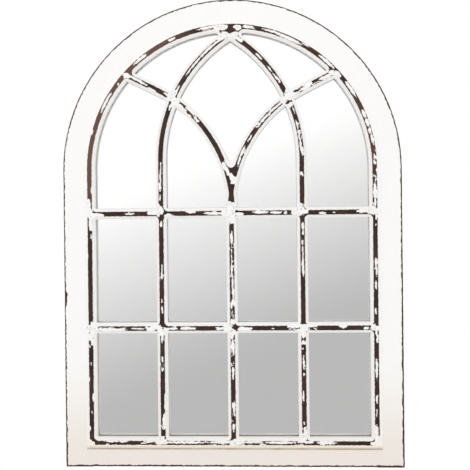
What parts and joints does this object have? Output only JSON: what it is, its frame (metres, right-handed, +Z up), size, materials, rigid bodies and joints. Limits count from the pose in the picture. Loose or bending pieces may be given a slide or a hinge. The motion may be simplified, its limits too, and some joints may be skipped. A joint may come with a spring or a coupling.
{
  "type": "arched window mirror",
  "caption": "Round-topped wall mirror with a wide distressed board frame and a raised window grille of bars and intersecting gothic arches over one sheet of mirror glass.",
  "frame": {"origin": "on the wall, midway between the seats where the two wall hooks hold the hanger rings when they are turned up", "axes": "+Z up, +Y into the wall, -Y out of the front of the mirror, +X to the right seen from the front"},
  "size_m": [0.8, 0.033, 1.103],
  "materials": {
    "painted_timber": "thick chalky off-white paint over dark brown stain, rubbed through along the ridges and chipped at the outer edge",
    "bare_timber": "planed beech, unfinished",
    "mirror": "clear float glass, silvered on the back, with a grey backing paint",
    "hardboard": "brown fibre board, smooth on the outside",
    "zinc_steel": "bright zinc plate",
    "rubber": "matt moulded rubber"
  },
  "bodies": {
    "frame": {"stile_left": "painted_timber", "stile_right": "painted_timber", "rail_bottom": "painted_timber", "arch_left": "painted_timber", "arch_right": "painted_timber", "moulding_left": "painted_timber", "moulding_arch_left": "painted_timber", "moulding_arch_right": "painted_timber", "moulding_right": "painted_timber", "moulding_bottom": "painted_timber", "mullion_left": "painted_timber", "mullion_right": "painted_timber", "mullion_centre": "painted_timber", "branch_left": "painted_timber", "branch_right": "painted_timber", "bar_lower": "painted_timber", "bar_upper": "painted_timber", "tenon_crown": "bare_timber", "tenon_spring_left": "bare_timber", "tenon_spring_right": "bare_timber", "tenon_corner_left": "bare_timber", "tenon_corner_right": "bare_timber", "mirror_glass": "mirror", "back_panel": "hardboard", "turn_button_screw_1": "zinc_steel", "turn_button_screw_2": "zinc_steel", "turn_button_screw_3": "zinc_steel", "turn_button_screw_4": "zinc_steel", "turn_button_screw_5": "zinc_steel", "turn_button_screw_6": "zinc_steel", "turn_button_screw_7": "zinc_steel", "turn_button_screw_8": "zinc_steel", "hanger_strap_left": "zinc_steel", "hanger_screw_left_1": "zinc_steel", "hanger_screw_left_2": "zinc_steel", "hanger_strap_right": "zinc_steel", "hanger_screw_right_1": "zinc_steel", "hanger_screw_right_2": "zinc_steel", "bumper_left": "rubber", "bumper_right": "rubber"},
    "turn_button_1": {"turn_button_1": "zinc_steel"},
    "turn_button_2": {"turn_button_2": "zinc_steel"},
    "turn_button_3": {"turn_button_3": "zinc_steel"},
    "turn_button_4": {"turn_button_4": "zinc_steel"},
    "turn_button_5": {"turn_button_5": "zinc_steel"},
    "turn_button_6": {"turn_button_6": "zinc_steel"},
    "turn_button_7": {"turn_button_7": "zinc_steel"},
    "turn_button_8": {"turn_button_8": "zinc_steel"},
    "hanger_ring_left": {"hanger_ring_left": "zinc_steel"},
    "hanger_ring_right": {"hanger_ring_right": "zinc_steel"}
  },
  "joints": [
    {"name": "turn_button_1_pivot", "type": "hinge", "parent": "frame", "child": "turn_button_1", "pos_m": [-0.19, -0.0051, -0.7415], "axis": [0, 1, 0], "continuous": true},
    {"name": "turn_button_2_pivot", "type": "hinge", "parent": "frame", "child": "turn_button_2", "pos_m": [0.19, -0.0051, -0.7415], "axis": [0, 1, 0], "continuous": true},
    {"name": "turn_button_3_pivot", "type": "hinge", "parent": "frame", "child": "turn_button_3", "pos_m": [-0.3445, -0.0051, -0.601], "axis": [0, 1, 0], "continuous": true},
    {"name": "turn_button_4_pivot", "type": "hinge", "parent": "frame", "child": "turn_button_4", "pos_m": [0.3445, -0.0051, -0.601], "axis": [0, 1, 0], "continuous": true},
    {"name": "turn_button_5_pivot", "type": "hinge", "parent": "frame", "child": "turn_button_5", "pos_m": [-0.3445, -0.0051, -0.271], "axis": [0, 1, 0], "continuous": true},
    {"name": "turn_button_6_pivot", "type": "hinge", "parent": "frame", "child": "turn_button_6", "pos_m": [0.3445, -0.0051, -0.271], "axis": [0, 1, 0], "continuous": true},
    {"name": "turn_button_7_pivot", "type": "hinge", "parent": "frame", "child": "turn_button_7", "pos_m": [-0.2436, -0.0051, 0.1556], "axis": [0, 1, 0], "continuous": true},
    {"name": "turn_button_8_pivot", "type": "hinge", "parent": "frame", "child": "turn_button_8", "pos_m": [0.2436, -0.0051, 0.1556], "axis": [0, 1, 0], "continuous": true},
    {"name": "hanger_ring_left_pivot", "type": "hinge", "parent": "frame", "child": "hanger_ring_left", "pos_m": [-0.361, -0.00325, -0.016], "axis": [1, 0, 0], "range_deg": [0, 180]},
    {"name": "hanger_ring_right_pivot", "type": "hinge", "parent": "frame", "child": "hanger_ring_right", "pos_m": [0.361, -0.00325, -0.016], "axis": [1, 0, 0], "range_deg": [0, 180]}
  ]
}
